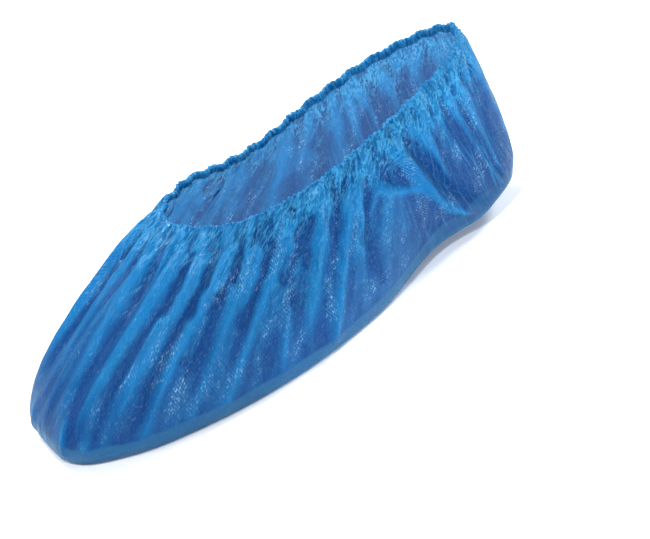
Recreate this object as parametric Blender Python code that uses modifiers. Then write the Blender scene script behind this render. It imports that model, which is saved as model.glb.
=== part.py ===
"""Disposable shoe cover: a gathered film bag with a flat elastic in its folded hem.

Metres, +Z up. The toe points to -Y and the heel to +Y.
The origin lies on the inner face of the sole, half way along it.
"""

import math

import bpy
import numpy as np

# Driving dimensions of the worn film bag
COVER_LENGTH = 0.296
COVER_WIDTH = 0.114
HEEL_HEIGHT = 0.100
OPENING_LENGTH = 0.184
OPENING_WIDTH = 0.068
OPENING_START = 0.101
FILM_WALL = 0.0010

# The rounded rim between the wall and the sole, and how far the sole rises under the heel
SOLE_RIM_RADIUS = 0.0036
HEEL_LIFT = 0.0060
LIFT_START = 0.60
LIFT_END = 0.86

# The hem, folded inwards over the elastic; the closure is where its flap slants back to the wall
ELASTIC_THICKNESS = 0.0008
ELASTIC_WIDTH = 0.0025
ELASTIC_GAP = 0.00035
HEM_CLOSURE = 0.0017

# The gathers: waves along the hem, which die out down the wall
GATHER_COUNT = 34
GATHER_HEIGHT = 0.0007
GATHER_SCALLOP = 0.0004
GATHER_REACH = 0.15

# How finely the surface is divided: columns along the hem for each gather, and rings down the wall
COLUMNS_A_GATHER = 4
WALL_RINGS = 9
WALL_START = 0.12
HEM_ARC_STEPS = 4
RIM_ARC_STEPS = 2

# The bag in ribs that run from the hem to the sole rim, from toe centre (0) to heel centre (1).
# hem_out and edge_out are shares of half the opening's and the cover's width.
# hem_back is a share of the opening's length, edge_back of the cover's length.
# hem_up is a share of the heel height, crown_up and belly_up of the hem's own height there.
# lean is how far the upper wall leans from hem to edge, as a share of the way.
# swell, belly_out and bend are shares of half the cover's width, rim is a share of the rim's radius.
RIB_COLUMNS = ("share", "hem_out", "hem_back", "hem_up", "edge_out", "edge_back",
               "lean", "swell", "crown_up", "belly_out", "belly_up", "bend", "rim")
RIBS = (
    (0.00, 0.00, 0.000, 0.82, 0.00, 0.004, 0.52, 0.00, 0.61, 0.07, 0.28, 0.04, 1.0),
    (0.07, 0.42, 0.030, 0.81, 0.44, 0.016, 0.52, 0.00, 0.61, 0.07, 0.26, 0.04, 1.0),
    (0.17, 0.76, 0.120, 0.77, 0.77, 0.098, 0.50, 0.00, 0.63, 0.07, 0.24, 0.05, 1.0),
    (0.30, 0.93, 0.250, 0.76, 0.98, 0.240, 0.42, 0.00, 0.68, 0.08, 0.22, 0.04, 1.0),
    (0.45, 1.00, 0.420, 0.79, 1.02, 0.420, 0.30, 0.00, 0.70, 0.08, 0.20, 0.02, 1.0),
    (0.60, 1.00, 0.600, 0.86, 0.85, 0.595, 0.30, 0.00, 0.66, 0.12, 0.20, 0.00, 1.2),
    (0.75, 0.86, 0.780, 0.93, 0.52, 0.765, 0.10, 0.06, 0.62, 0.12, 0.30, 0.00, 2.0),
    (0.87, 0.56, 0.930, 0.98, 0.51, 0.895, 0.00, 0.10, 0.68, 0.06, 0.34, 0.00, 2.3),
    (0.95, 0.25, 0.985, 1.01, 0.33, 0.966, 0.00, 0.11, 0.70, 0.06, 0.34, 0.00, 2.2),
    (1.00, 0.00, 1.000, 1.02, 0.00, 0.990, 0.00, 0.11, 0.72, 0.06, 0.30, 0.00, 2.0),
)
MIRRORED_COLUMNS = ("hem_out", "edge_out")

# The far side of the hem stands higher beside the instep; the height is a share of the heel height
FAR_RISE = {"place": -0.20, "spread": 0.11, "height": 0.06}

# Folds and welds of the film, each along a line from the hem down the wall.
# place is where the line meets the hem, as a share round it, negative on the far side.
# drift is how far the line has moved on when it meets the sole rim, in the same share.
# start and stop are shares of the way down, width is a share round the hem.
# height is a share of the cover's half width, outwards.
FOLD_COLUMNS = ("place", "drift", "start", "stop", "width", "height")
FOLDS = (
    (0.050, 0.000, 0.60, 1.00, 0.015, 0.016),
    (1.000, 0.000, 0.10, 1.00, 0.015, 0.020),
    (0.060, -0.010, 0.06, 0.60, 0.022, -0.035),
    (0.100, -0.030, 0.06, 0.72, 0.020, 0.040),
    (0.128, -0.025, 0.06, 0.75, 0.014, -0.045),
    (0.160, -0.020, 0.06, 0.80, 0.018, 0.045),
    (0.190, -0.022, 0.06, 0.80, 0.014, -0.042),
    (0.222, -0.030, 0.06, 0.95, 0.018, 0.048),
    (0.258, -0.030, 0.06, 0.70, 0.016, -0.046),
    (0.300, -0.035, 0.05, 0.90, 0.022, 0.030),
    (0.340, -0.030, 0.06, 0.60, 0.016, -0.048),
    (0.366, -0.048, 0.06, 0.98, 0.018, 0.052),
    (0.398, 0.020, 0.05, 0.60, 0.015, -0.060),
    (0.440, 0.020, 0.06, 0.75, 0.022, 0.040),
    (0.490, 0.010, 0.06, 0.50, 0.018, -0.045),
    (0.515, -0.010, 0.05, 0.98, 0.018, 0.042),
    (0.560, 0.030, 0.06, 0.70, 0.018, -0.040),
    (0.612, 0.210, 0.06, 0.80, 0.026, 0.085),
    (0.672, 0.200, 0.10, 0.82, 0.020, -0.050),
    (0.720, 0.140, 0.05, 0.95, 0.016, 0.030),
    (0.765, 0.120, 0.06, 0.98, 0.014, -0.026),
    (0.805, 0.110, 0.05, 1.00, 0.014, 0.026),
    (0.850, 0.080, 0.06, 0.90, 0.014, -0.024),
    (-0.055, 0.010, 0.06, 0.60, 0.018, -0.036),
    (-0.095, 0.030, 0.06, 0.75, 0.020, 0.042),
    (-0.140, 0.030, 0.06, 0.70, 0.018, -0.044),
    (-0.190, 0.030, 0.06, 0.90, 0.020, 0.044),
    (-0.245, 0.030, 0.06, 0.65, 0.020, -0.046),
    (-0.300, 0.030, 0.05, 0.95, 0.022, 0.046),
    (-0.360, 0.000, 0.06, 0.60, 0.018, -0.052),
    (-0.420, -0.020, 0.06, 0.85, 0.022, 0.044),
    (-0.485, -0.020, 0.06, 0.60, 0.020, -0.046),
    (-0.545, -0.030, 0.05, 0.95, 0.022, 0.046),
    (-0.610, -0.060, 0.06, 0.70, 0.020, -0.040),
    (-0.670, -0.110, 0.05, 0.90, 0.022, 0.046),
    (-0.735, -0.110, 0.05, 0.80, 0.018, -0.034),
    (-0.800, -0.090, 0.05, 0.98, 0.016, 0.030),
    (-0.860, -0.060, 0.06, 0.90, 0.016, -0.024),
)
# How much of the way down a fold takes to rise and to die out, and how much it widens on the way
FOLD_FADE = 0.12
FOLD_WIDENING = 0.6


def column(table, names, name):
    """One named column of a table."""
    place = names.index(name)
    return np.array([row[place] for row in table])


def smooth_read(shares, knots, values, mirrored):
    """Read a half table round the whole loop, with a smooth curve through its rows."""
    near = np.asarray(values, dtype=float)
    far = -near if mirrored else near
    whole_knots = np.concatenate((-knots[:0:-1], knots))
    whole_values = np.concatenate((far[:0:-1], near))
    x = np.concatenate((whole_knots[:-1] - 2.0, whole_knots, whole_knots[1:] + 2.0))
    y = np.concatenate((whole_values[:-1], whole_values, whole_values[1:]))
    gap = np.diff(x)
    rise = np.diff(y) / gap
    slope = np.zeros_like(y)
    slope[1:-1] = (gap[1:] * rise[:-1] + gap[:-1] * rise[1:]) / (gap[1:] + gap[:-1])
    left = np.clip(np.searchsorted(x, shares, side="right") - 1, 0, len(gap) - 1)
    t = (shares - x[left]) / gap[left]
    start_part = (1.0 + 2.0 * t) * (1.0 - t) ** 2 * y[left]
    end_part = t ** 2 * (3.0 - 2.0 * t) * y[left + 1]
    slope_part = t * (1.0 - t) * ((1.0 - t) * slope[left] - t * slope[left + 1]) * gap[left]
    return start_part + end_part + slope_part


def rib_values(shares):
    """Every column of the rib table at the given shares round the loop."""
    knots = column(RIBS, RIB_COLUMNS, "share")
    return {
        name: smooth_read(shares, knots, column(RIBS, RIB_COLUMNS, name), name in MIRRORED_COLUMNS)
        for name in RIB_COLUMNS[1:]
    }


def ramp(value):
    """Rises smoothly from 0 to 1."""
    t = np.clip(value, 0.0, 1.0)
    return t * t * (3.0 - 2.0 * t)


def wrapped(distance):
    """A distance round the loop, brought to between -1 and 1."""
    return (distance + 1.0) % 2.0 - 1.0


def hem_line(shares, values):
    """The upper end of each rib."""
    rise = FAR_RISE["height"] * np.exp(-(wrapped(shares - FAR_RISE["place"]) / FAR_RISE["spread"]) ** 2)
    x = values["hem_out"] * OPENING_WIDTH / 2
    y = -COVER_LENGTH / 2 + OPENING_START + values["hem_back"] * OPENING_LENGTH
    z = (values["hem_up"] + rise) * HEEL_HEIGHT
    return np.stack((x, y, z), axis=1)


def sole_rise(values):
    """How far the sole lies above its flat front at each rib, which is nothing up to the arch."""
    return HEEL_LIFT * ramp((values["edge_back"] - LIFT_START) / (LIFT_END - LIFT_START))


def edge_line(shares):
    """The lower end of each rib, where the wall meets the rounded rim of the sole."""
    values = rib_values(shares)
    x = (values["edge_out"] + values["bend"]) * COVER_WIDTH / 2
    y = -COVER_LENGTH / 2 + values["edge_back"] * COVER_LENGTH
    z = sole_rise(values) + SOLE_RIM_RADIUS * values["rim"] - FILM_WALL
    return np.stack((x, y, z), axis=1)


def unit(vectors):
    """Vectors of length one."""
    return vectors / np.linalg.norm(vectors, axis=-1, keepdims=True)


def outward(shares):
    """The level direction out of the sole's outline."""
    step = 0.004
    along = edge_line(shares + step) - edge_line(shares - step)
    return unit(np.stack((along[:, 1], -along[:, 0], np.zeros(len(shares))), axis=1))


def wall_point(shares, down):
    """Points on the unfolded wall, down from the hem (0) to the sole rim (1), each rib a cubic curve."""
    values = rib_values(shares)
    half_width = COVER_WIDTH / 2
    hem = hem_line(shares, values)
    edge = edge_line(shares)
    out = outward(shares)
    crown = hem + (edge - hem) * values["lean"][:, None] + out * (values["swell"] * half_width)[:, None]
    crown[:, 2] = hem[:, 2] * values["crown_up"]
    belly = edge + out * (values["belly_out"] * half_width)[:, None]
    belly[:, 2] = hem[:, 2] * values["belly_up"]
    t = np.asarray(down)[:, None]
    return (1 - t) ** 3 * hem + 3 * (1 - t) ** 2 * t * crown + 3 * (1 - t) * t ** 2 * belly + t ** 3 * edge


def wall_directions(shares, down):
    """Unit vectors in the wall square to the hem, and out of the wall."""
    step = 0.01
    low = wall_point(shares, np.clip(down + step, 0.0, 1.0))
    high = wall_point(shares, np.clip(down - step, 0.0, 1.0))
    along = unit(wall_point(shares + step, down) - wall_point(shares - step, down))
    out = unit(np.cross(along, high - low))
    return np.cross(out, along), out


def fold_height(shares, down):
    """How far the folds and welds push the film out of the wall."""
    total = np.zeros(len(shares))
    for row in FOLDS:
        fold = dict(zip(FOLD_COLUMNS, row))
        middle = fold["place"] + fold["drift"] * down
        spread = fold["width"] * (1.0 + FOLD_WIDENING * down)
        across = np.exp(-(wrapped(shares - middle) / spread) ** 2)
        rise = ramp((down - fold["start"]) / FOLD_FADE)
        fall = ramp((fold["stop"] - down) / FOLD_FADE) if fold["stop"] < 1.0 else 1.0
        total += fold["height"] * across * rise * fall
    return total * COVER_WIDTH / 2


def gather_wave(shares):
    """The gathers' wave along the hem, from -1 to 1."""
    return np.sin(math.pi * GATHER_COUNT * shares)


def wall_ring(shares, down_share):
    """One ring of the folded wall."""
    down = np.full(len(shares), down_share)
    out = wall_directions(shares, down)[1]
    gather = GATHER_HEIGHT * gather_wave(shares) * (1.0 - ramp(down / GATHER_REACH))
    return wall_point(shares, down) + out * (fold_height(shares, down) + gather)[:, None]


def hem_frame(shares):
    """The hem's own place and directions: the film's outer face at the foot of the fold over the elastic."""
    top = np.zeros(len(shares))
    up, out = wall_directions(shares, top)
    place = wall_point(shares, top) + out * (GATHER_HEIGHT * gather_wave(shares))[:, None]
    place[:, 2] += GATHER_SCALLOP * np.cos(math.pi * GATHER_COUNT * shares)
    return place, up, out


def hem_fold_radius():
    """Outer radius of the fold, which holds the elastic and its gaps between two walls."""
    return ELASTIC_THICKNESS / 2 + ELASTIC_GAP + FILM_WALL


def hem_rings(shares):
    """Rings of the hem's fold, from the flap's free edge inside over the top to the wall outside."""
    place, up, out = hem_frame(shares)
    radius = hem_fold_radius()
    centre = place - out * radius
    below_elastic = ELASTIC_GAP + ELASTIC_WIDTH
    shoulder = below_elastic + 2 * ELASTIC_GAP
    flap_end = shoulder + HEM_CLOSURE
    pinch = ELASTIC_THICKNESS + ELASTIC_GAP
    rings = [centre - out * (radius - pinch) - up * flap_end, centre - out * radius - up * shoulder]
    for step in range(HEM_ARC_STEPS + 1):
        turn = math.pi * (1.0 - step / HEM_ARC_STEPS)
        rings.append(centre + out * radius * math.cos(turn) + up * radius * math.sin(turn))
    rings.append(centre + out * radius - up * (flap_end + ELASTIC_GAP))
    return rings


def sole_rings(shares):
    """Rings of the rounded rim, from the wall's foot in to the sole."""
    edge = edge_line(shares)
    out = outward(shares)
    radius = (SOLE_RIM_RADIUS * rib_values(shares)["rim"])[:, None]
    rings = []
    for step in range(1, RIM_ARC_STEPS + 1):
        turn = math.pi / 2 * step / RIM_ARC_STEPS
        ring = edge - out * radius * (1.0 - math.cos(turn))
        ring[:, 2] = edge[:, 2] - radius[:, 0] * math.sin(turn)
        rings.append(ring)
    return rings


def sole_faces(shares, start):
    """The sole's faces: one flat face up to the arch, then strips across that rise to the heel."""
    columns = len(shares)
    rise = sole_rise(rib_values(shares))
    first_flat = int(np.argmax(rise <= 0.0))
    faces = [tuple(start + here for here in range(columns - first_flat, first_flat - 1, -1))]
    for far in range(first_flat - 1, 0, -1):
        near = columns - far
        faces.append((start + near, start + near - 1, start + far + 1, start + far))
    faces.append((start, start + columns - 1, start + 1))
    return faces


def loop_shares(count):
    """Even shares round the whole loop."""
    return -1.0 + 2.0 * np.arange(count) / count


def new_material(name, color, roughness, transmission):
    """A Principled material."""
    material = bpy.data.materials.new(name)
    material.use_nodes = True
    shader = material.node_tree.nodes["Principled BSDF"]
    shader.inputs["Base Color"].default_value = (*color, 1.0)
    shader.inputs["Roughness"].default_value = roughness
    shader.inputs["Metallic"].default_value = 0.0
    shader.inputs["Transmission Weight"].default_value = transmission
    return material


def ring_faces(ring_count, columns, closed_section):
    """Quads between neighbouring rings."""
    faces = []
    last = ring_count if closed_section else ring_count - 1
    for ring in range(last):
        upper = ring * columns
        lower = (ring + 1) % ring_count * columns
        for here in range(columns):
            after = (here + 1) % columns
            faces.append((upper + here, lower + here, lower + after, upper + after))
    return faces


def new_object(name, points, faces, material, collection):
    """A smooth-shaded mesh object in the collection."""
    mesh = bpy.data.meshes.new(name)
    mesh.from_pydata([tuple(point) for point in points], [], faces)
    mesh.materials.append(material)
    mesh.shade_smooth()
    mesh.set_sharp_from_angle(angle=math.radians(50))
    item = bpy.data.objects.new(name, mesh)
    collection.objects.link(item)
    return item


def build_film_cover(collection, material):
    """The film bag: hem, folded wall, sole rim and flat sole as one surface, thickened inwards."""
    columns = GATHER_COUNT * COLUMNS_A_GATHER
    shares = loop_shares(columns)
    rings = hem_rings(shares)
    rings += [wall_ring(shares, down) for down in np.linspace(WALL_START, 1.0, WALL_RINGS)]
    rings += sole_rings(shares)
    faces = ring_faces(len(rings), columns, False)
    faces += sole_faces(shares, (len(rings) - 1) * columns)
    cover = new_object("film_cover", np.concatenate(rings), faces, material, collection)
    shell = cover.modifiers.new("film", "SOLIDIFY")
    shell.thickness = FILM_WALL
    shell.offset = -1.0
    shell.use_even_offset = True
    return cover


def build_elastic(collection, material):
    """The flat elastic: a closed strip that follows the hem inside its fold."""
    columns = GATHER_COUNT * COLUMNS_A_GATHER
    shares = loop_shares(columns)
    place, up, out = hem_frame(shares)
    centre = place - out * hem_fold_radius()
    half_thickness = ELASTIC_THICKNESS / 2
    top = centre - up * ELASTIC_GAP
    bottom = top - up * ELASTIC_WIDTH
    rings = (
        top + out * half_thickness,
        bottom + out * half_thickness,
        bottom - out * half_thickness,
        top - out * half_thickness,
    )
    faces = ring_faces(len(rings), columns, True)
    return new_object("elastic_band", np.concatenate(rings), faces, material, collection)


def main():
    """Build the shoe cover."""
    for item in list(bpy.data.objects):
        bpy.data.objects.remove(item, do_unlink=True)
    collection = bpy.data.collections.new("shoe_cover")
    bpy.context.scene.collection.children.link(collection)
    film = new_material("blue_film", (0.03, 0.22, 0.68), 0.32, 0.25)
    elastic = new_material("white_elastic", (0.82, 0.86, 0.90), 0.75, 0.0)
    build_film_cover(collection, film)
    build_elastic(collection, elastic)


main()
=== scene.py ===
"""Looks of the disposable shoe cover: its gathered, embossed plastic film and its elastic.

Metres, in the frame of the solid model. The film is one thin surface of its own, laid on the same
ribs and folds as the solid. It is then relaxed as an inextensible film, so that the spare width
taken up by the elastic buckles into gathers.
"""

import math

import bpy
import numpy as np
from mathutils import Matrix, Vector


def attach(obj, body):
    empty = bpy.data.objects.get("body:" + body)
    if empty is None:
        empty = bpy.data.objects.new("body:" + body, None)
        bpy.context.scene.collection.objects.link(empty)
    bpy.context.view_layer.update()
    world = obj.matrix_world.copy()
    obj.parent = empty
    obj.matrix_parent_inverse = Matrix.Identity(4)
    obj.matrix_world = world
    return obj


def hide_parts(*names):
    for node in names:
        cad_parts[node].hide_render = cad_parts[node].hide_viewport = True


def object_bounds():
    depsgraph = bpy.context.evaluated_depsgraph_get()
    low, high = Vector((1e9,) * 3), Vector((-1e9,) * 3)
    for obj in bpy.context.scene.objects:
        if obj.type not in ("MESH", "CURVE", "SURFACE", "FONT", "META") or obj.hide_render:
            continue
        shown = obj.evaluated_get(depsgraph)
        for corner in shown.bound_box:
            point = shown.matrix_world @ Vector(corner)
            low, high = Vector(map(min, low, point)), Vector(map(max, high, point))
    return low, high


# Driving dimensions of the worn film bag, as in the solid model
COVER_LENGTH = 0.296
COVER_WIDTH = 0.114
HEEL_HEIGHT = 0.100
OPENING_LENGTH = 0.184
OPENING_WIDTH = 0.068
OPENING_START = 0.101
FILM_WALL = 0.0010
SOLE_RIM_RADIUS = 0.0036
HEEL_LIFT = 0.0060
LIFT_START = 0.60
LIFT_END = 0.86
HEEL_END_RISE = 0.009
HEEL_END_START = 0.84
ELASTIC_THICKNESS = 0.0008
ELASTIC_WIDTH = 0.0025
ELASTIC_GAP = 0.00035
GATHER_COUNT = 34
GATHER_HEIGHT = 0.0007
GATHER_SCALLOP = 0.0004

# The bag in ribs from the hem to the sole rim, from toe centre (0) to heel centre (1), as in the solid
RIB_COLUMNS = ("share", "hem_out", "hem_back", "hem_up", "edge_out", "edge_back",
               "lean", "swell", "crown_up", "belly_out", "belly_up", "bend", "rim")
RIBS = (
    (0.00, 0.00, 0.000, 0.82, 0.00, 0.004, 0.52, 0.00, 0.61, 0.07, 0.28, 0.04, 1.0),
    (0.07, 0.42, 0.030, 0.81, 0.44, 0.016, 0.52, 0.00, 0.61, 0.07, 0.26, 0.04, 1.0),
    (0.17, 0.76, 0.120, 0.77, 0.77, 0.098, 0.50, 0.00, 0.63, 0.07, 0.24, 0.05, 1.0),
    (0.30, 0.93, 0.250, 0.76, 0.98, 0.240, 0.42, 0.00, 0.68, 0.08, 0.22, 0.04, 1.0),
    (0.45, 1.00, 0.420, 0.79, 1.02, 0.420, 0.30, 0.00, 0.70, 0.08, 0.20, 0.02, 1.0),
    (0.60, 1.00, 0.600, 0.86, 0.85, 0.595, 0.30, 0.00, 0.66, 0.12, 0.20, 0.00, 1.2),
    (0.75, 0.86, 0.780, 0.93, 0.52, 0.765, 0.10, 0.06, 0.62, 0.12, 0.30, 0.00, 2.0),
    (0.87, 0.56, 0.930, 0.98, 0.51, 0.895, 0.00, 0.10, 0.68, 0.06, 0.34, 0.00, 2.3),
    (0.95, 0.25, 0.985, 1.01, 0.33, 0.966, 0.00, 0.11, 0.70, 0.06, 0.34, 0.00, 2.2),
    (1.00, 0.00, 1.000, 1.02, 0.00, 0.990, 0.00, 0.11, 0.72, 0.06, 0.30, 0.00, 2.0),
)
MIRRORED_COLUMNS = ("hem_out", "edge_out")
# How the hem stands higher on the far side, behind the toe
FAR_RISE = {"place": -0.20, "spread": 0.11, "height": 0.06}

# Main folds and welds, each along a line from the hem down the wall, near those of the solid model
FOLD_COLUMNS = ("place", "drift", "start", "stop", "width", "height")
FOLDS = (
    (0.050, 0.000, 0.60, 1.00, 0.015, 0.016),
    (1.000, 0.000, 0.10, 1.00, 0.015, 0.020),
    (0.060, -0.010, 0.06, 0.60, 0.022, -0.035),
    (0.100, -0.030, 0.06, 0.72, 0.020, 0.040),
    (0.128, -0.025, 0.06, 0.75, 0.014, -0.045),
    (0.160, -0.020, 0.06, 0.80, 0.018, 0.045),
    (0.190, -0.022, 0.06, 0.80, 0.014, -0.042),
    (0.222, -0.030, 0.06, 0.95, 0.018, 0.048),
    (0.258, -0.030, 0.06, 0.70, 0.016, -0.046),
    (0.300, -0.035, 0.05, 0.90, 0.022, 0.030),
    (0.340, -0.030, 0.06, 0.60, 0.016, -0.048),
    (0.366, -0.048, 0.06, 0.98, 0.018, 0.052),
    (0.398, 0.020, 0.05, 0.60, 0.015, -0.060),
    (0.440, 0.020, 0.06, 0.75, 0.022, 0.040),
    (0.490, 0.010, 0.06, 0.50, 0.018, -0.045),
    (0.515, -0.010, 0.05, 0.98, 0.018, 0.042),
    (0.560, 0.030, 0.06, 0.70, 0.018, -0.040),
    (0.612, 0.215, 0.06, 0.94, 0.014, 0.105),
    (0.645, 0.215, 0.08, 0.94, 0.014, -0.075),
    (0.720, 0.140, 0.05, 0.95, 0.009, 0.006),
    (0.765, 0.120, 0.06, 0.98, 0.014, -0.007),
    (0.805, 0.110, 0.05, 0.98, 0.007, 0.007),
    (0.850, 0.080, 0.06, 0.90, 0.014, -0.007),
    (-0.055, 0.010, 0.06, 0.60, 0.018, -0.036),
    (-0.095, 0.030, 0.06, 0.75, 0.020, 0.042),
    (-0.140, 0.030, 0.06, 0.70, 0.018, -0.044),
    (-0.190, 0.030, 0.06, 0.90, 0.020, 0.044),
    (-0.245, 0.030, 0.06, 0.65, 0.020, -0.046),
    (-0.300, 0.030, 0.05, 0.95, 0.022, 0.046),
    (-0.360, 0.000, 0.06, 0.60, 0.018, -0.052),
    (-0.420, -0.020, 0.06, 0.85, 0.022, 0.044),
    (-0.485, -0.020, 0.06, 0.60, 0.020, -0.046),
    (-0.545, -0.030, 0.05, 0.95, 0.022, 0.046),
    (-0.610, -0.060, 0.06, 0.70, 0.020, -0.040),
    (-0.670, -0.110, 0.05, 0.90, 0.022, 0.046),
    (-0.735, -0.110, 0.05, 0.80, 0.014, -0.010),
    (-0.800, -0.090, 0.05, 0.98, 0.009, 0.009),
    (-0.860, -0.060, 0.06, 0.90, 0.012, -0.010),
)
# How the folds fade in, run out, narrow at the hem and widen down the wall, and how sharp they are
FOLD_FADE = 0.12
FOLD_RUN_OUT = 0.34
FOLD_NARROWING = 0.58
FOLD_WIDENING = 0.6
FOLD_SHARPNESS = 1.05

# The film's own grid: ruffles round the hem, columns to each ruffle, and rings down the wall
RUFFLES = 150
COLUMNS_A_RUFFLE = 4
WALL_RINGS = 121
RUFFLE_DEPTH = 0.00060
RUFFLE_SCALLOP = 0.00045
RUFFLE_UNEVENNESS = 0.55
RUFFLE_STRENGTH = 0.45
RUFFLE_STAND_OFF = 0.35
SCALLOP_TURN = 0.6
# Waves that make the ruffles uneven: how many, and their counts round the loop
UNEVEN_WAVES = 5
DRIFT_COUNTS = (5, 24)
STRENGTH_COUNTS = (9, 40)
# The hem's fold, and how far down the wall it draws the film in and gathers it
HEM_RADIUS = 0.00095
HEM_BLEND = 0.12
GATHER_REACH = 0.15
# The hem's free flap inside: rings by their reach off the elastic and their share of the flap's depth
FLAP_DEPTH = 0.0038
FLAP_COLUMNS = ("reach", "depth")
FLAP_RINGS = ((0.6, 1.0), (1.2, 0.6))
# Steps round the hem's fold and round the rim, and strips across the sole
FLAP_ARC_STEPS = 6
RIM_ARC_STEPS = 3
SOLE_STRIPS = 12

# Levels of the relaxation: each halves the grid's spacing; steps is how long each one runs
LEVEL_COLUMNS = ("coarser", "steps")
LEVELS = ((4, 260), (2, 220), (1, 150))
# Links of the film's net: rings apart, columns apart, and how firmly it pulls and pushes back
LINK_COLUMNS = ("rings", "columns", "pull", "push")
LINKS = (
    (0, 1, 0.24, 0.14),
    (1, 0, 0.24, 0.20),
    (1, 1, 0.10, 0.04),
    (1, -1, 0.10, 0.04),
    (0, 2, 0.02, 0.05),
    (2, 0, 0.02, 0.22),
    (4, 0, 0.02, 0.22),
    (8, 0, 0.00, 0.18),
    (14, 0, 0.00, 0.12),
)
# Spare width of the film as a share of the worn width: at the hem, below it and everywhere
SPARE_AT_HEM = 0.30
SPARE_BELOW = 0.008
SPARE_EVERYWHERE = 0.01
# How fast the spare width fades down the wall, and where round the loop and how much the heel has less
SPARE_FADE = 0.11
SPARE_HEEL_START = 0.62
SPARE_HEEL_FADE = 0.2
SPARE_HEEL_CUT = 0.6
# How much shorter the film is down the wall than the worn wall, which draws it taut
TAUT = 0.985
# Uneven start of the coarsest level: its share of the room, waves, their counts round the loop, and slant
START_SHARE = 0.6
START_WAVES = 24
START_COUNTS = (20, 150)
START_SLANT = 3.0
# How far the film may stand out of its folds and sink into them, in metres, at places down the wall
ROOM_KNOTS = (0.0, 0.04, 0.12, 0.45, 0.85, 1.0)
ROOM_OUT = (0.0008, 0.0010, 0.0010, 0.0007, 0.0004, 0.0002)
ROOM_IN = (0.00035, 0.0004, 0.0007, 0.0005, 0.0003, 0.0001)
# How near the film may come to the middle of the elastic, and how far down the wall the elastic reaches
ELASTIC_CLEARANCE = 0.0007
ELASTIC_REACH = 0.05
# The solid elastic's straight pieces, and how many steps along each are looked at
ELASTIC_COLUMNS = 4 * GATHER_COUNT
ELASTIC_PIECES = 12
# How much of a point's slide along the wall it keeps at each step, at places down the wall
HOLD_KNOTS = (0.0, 0.05, 0.10, 1.0)
HOLD_VALUES = (0.5, 0.8, 0.97, 0.97)
# Smaller folds beside the main ones: width in shares of the loop, height in metres, and its sign
MINOR_FOLDS = 190
MINOR_WIDTHS = (0.0035, 0.0100)
MINOR_HEIGHTS = (0.0003, 0.0014)
MINOR_SIGNS = (1.0, 1.0, -0.8)
# Where down the wall they start and stop, and how they rise and run out
MINOR_START = 0.10
MINOR_LATE_START = 0.25
MINOR_STOPS = (0.25, 1.05)
MINOR_RISE = 0.05
MINOR_RUN_OUT = 0.45
MINOR_END = 0.15
# How they stray from the main folds' drift, bow, widen down the wall, and how sharp they are
MINOR_STRAY = 0.008
MINOR_BOW = 0.003
MINOR_NARROWING = 0.7
MINOR_WIDENING = 0.9
MINOR_SHARPNESS = 1.15
# Where round the loop the heel begins, and how much smaller the smaller folds are there
HEEL_START = 0.68
HEEL_NARROWING = 0.6
# Sharp tension creases: place at the hem, drift to the rim, ends down the wall, width, height in metres
CREASE_COLUMNS = ("place", "drift", "start", "stop", "width", "height")
CREASES = (
    (0.030, 0.036, 0.66, 1.00, 0.005, 0.0016),
    (-0.020, -0.020, 0.70, 1.00, 0.005, 0.0010),
    (0.090, 0.010, 0.74, 1.00, 0.005, 0.0008),
    (0.614, 0.215, 0.08, 0.96, 0.005, 0.0013),
    (0.700, 0.140, 0.10, 0.85, 0.005, 0.0006),
    (0.742, 0.150, 0.06, 0.90, 0.005, 0.0007),
    (0.785, 0.115, 0.05, 1.00, 0.006, 0.0010),
    (0.815, 0.100, 0.10, 0.95, 0.005, 0.0008),
    (0.838, 0.070, 0.04, 0.90, 0.005, 0.0009),
    (0.880, 0.050, 0.08, 0.85, 0.005, 0.0007),
    (0.925, 0.030, 0.05, 0.95, 0.006, 0.0008),
    (-0.700, -0.140, 0.08, 0.90, 0.006, 0.0009),
    (-0.760, -0.120, 0.05, 0.95, 0.006, 0.0009),
    (-0.830, -0.080, 0.05, 0.90, 0.005, 0.0008),
    (-0.900, -0.040, 0.06, 0.90, 0.005, 0.0008),
)
# How sharp the creases are, and how much of their fade their lower end keeps
CREASE_SHARPNESS = 1.4
CREASE_END = 0.3

# Pockets, bulges and lips between the folds: both ends round the loop and down the wall, sizes in metres
LIP_COLUMNS = ("from_place", "from_down", "to_place", "to_down", "width", "height")
LIPS = (
    (0.275, 0.10, 0.300, 0.13, 0.0050, -0.0014),
    (0.272, 0.16, 0.305, 0.17, 0.0018, 0.0009),
    (0.415, 0.10, 0.440, 0.10, 0.0060, 0.0009),
    (0.425, 0.19, 0.455, 0.20, 0.0030, -0.0009),
    (0.505, 0.10, 0.515, 0.17, 0.0035, -0.0012),
    (0.575, 0.43, 0.608, 0.76, 0.0015, -0.0008),
    (0.618, 0.21, 0.650, 0.27, 0.0050, -0.0015),
    (0.600, 0.27, 0.715, 0.47, 0.0020, 0.0015),
    (-0.330, 0.12, -0.355, 0.14, 0.0050, -0.0013),
    (-0.470, 0.11, -0.500, 0.11, 0.0055, 0.0009),
    (-0.560, 0.12, -0.565, 0.18, 0.0035, -0.0012),
)
# What one step round the loop and one down the wall are in metres, about halfway down
WALL_SPANS = (0.30, 0.09)
LIP_SHARPNESS = 1.6

# Uneven starts of each finer level: their share of the room, and how fast they fade down the wall
JOLT = 0.15
JOLT_FADE = 0.35

# Half the loop of the flat film in metres, and where the sole lies on it, well clear of the wall
FLAT_HALF_LOOP = 0.36
FLAT_SOLE_PLACE = (0.0, 1.0)

# The film's painted light and shade, from deep to bright: columns looked at each way, and what adds to it,
# in metres of lift
TONE_REACH = 9
# Painted glow where the film stands off; painted highlights on ridges, creases and bulges, painted shade in
# valleys and pockets
TONE_OF_LIFT = 0.5
TONE_OF_RIDGES = 2.0
TONE_OF_CREASES = 1.3
# Painted light on the hem's fold and the rim, a darker heel panel, a painted glow at the heel's end; the
# unevenness is random tone
TONE_OF_HEM = 0.0022
TONE_OF_HEEL = -0.0024
TONE_OF_HEEL_END = 0.0030
TONE_UNEVENNESS = 0.0060
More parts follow.
